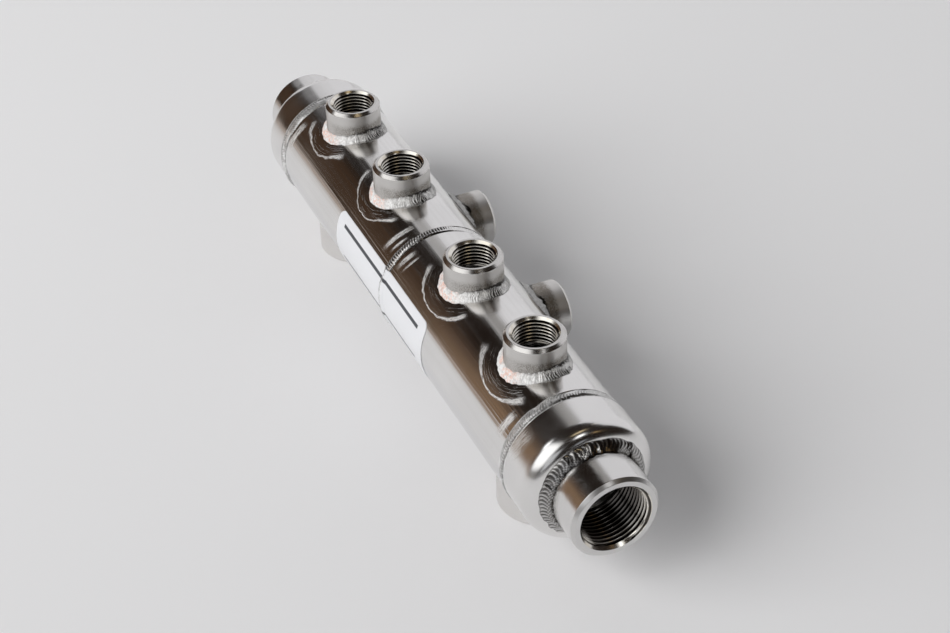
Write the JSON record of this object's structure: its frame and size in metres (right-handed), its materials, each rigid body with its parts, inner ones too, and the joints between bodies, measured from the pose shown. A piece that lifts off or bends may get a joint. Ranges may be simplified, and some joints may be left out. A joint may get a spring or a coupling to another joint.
{
  "type": "rack coolant manifold",
  "caption": "Welded stainless steel coolant header with dished ends, threaded end ports, a row of threaded branch ports on top and side, and larger ports below that it stands on.",
  "frame": {"origin": "centre of the first end coupling's mouth, on the shell's axis", "axes": "+X along the shell towards the second end, +Z out of the top couplings, +Y out of the side couplings"},
  "size_m": [0.3682, 0.0752, 0.0898],
  "materials": {
    "polished_shell": "polished stainless steel with fine lengthwise brushing",
    "polished_cap": "polished stainless steel, spun",
    "turned_coupling": "machined stainless steel with fine turning marks",
    "plain_disc": "cut stainless steel plate",
    "girth_bead": "rippled stainless weld metal",
    "fillet_bead": "brushed and frosted stainless weld metal with faint heat tint",
    "label_film": "white printed film with plain dark rules"
  },
  "bodies": {
    "root": {"shell_tube_a": "polished_shell", "shell_tube_b": "polished_shell", "divider_disc": "plain_disc", "end_cap_a": "polished_cap", "end_cap_b": "polished_cap", "end_coupling_a": "turned_coupling", "end_coupling_b": "turned_coupling", "top_coupling_1": "turned_coupling", "top_coupling_2": "turned_coupling", "top_coupling_3": "turned_coupling", "top_coupling_4": "turned_coupling", "side_coupling_1": "turned_coupling", "side_coupling_2": "turned_coupling", "bottom_coupling_1": "turned_coupling", "bottom_coupling_2": "turned_coupling", "mid_girth_weld": "girth_bead", "cap_girth_weld_a": "girth_bead", "cap_girth_weld_b": "girth_bead", "end_coupling_weld_a": "girth_bead", "end_coupling_weld_b": "girth_bead", "top_weld_1": "fillet_bead", "top_weld_2": "fillet_bead", "top_weld_3": "fillet_bead", "top_weld_4": "fillet_bead", "side_weld_1": "fillet_bead", "side_weld_2": "fillet_bead", "bottom_weld_1": "fillet_bead", "bottom_weld_2": "fillet_bead", "label": "label_film"}
  },
  "joints": []
}
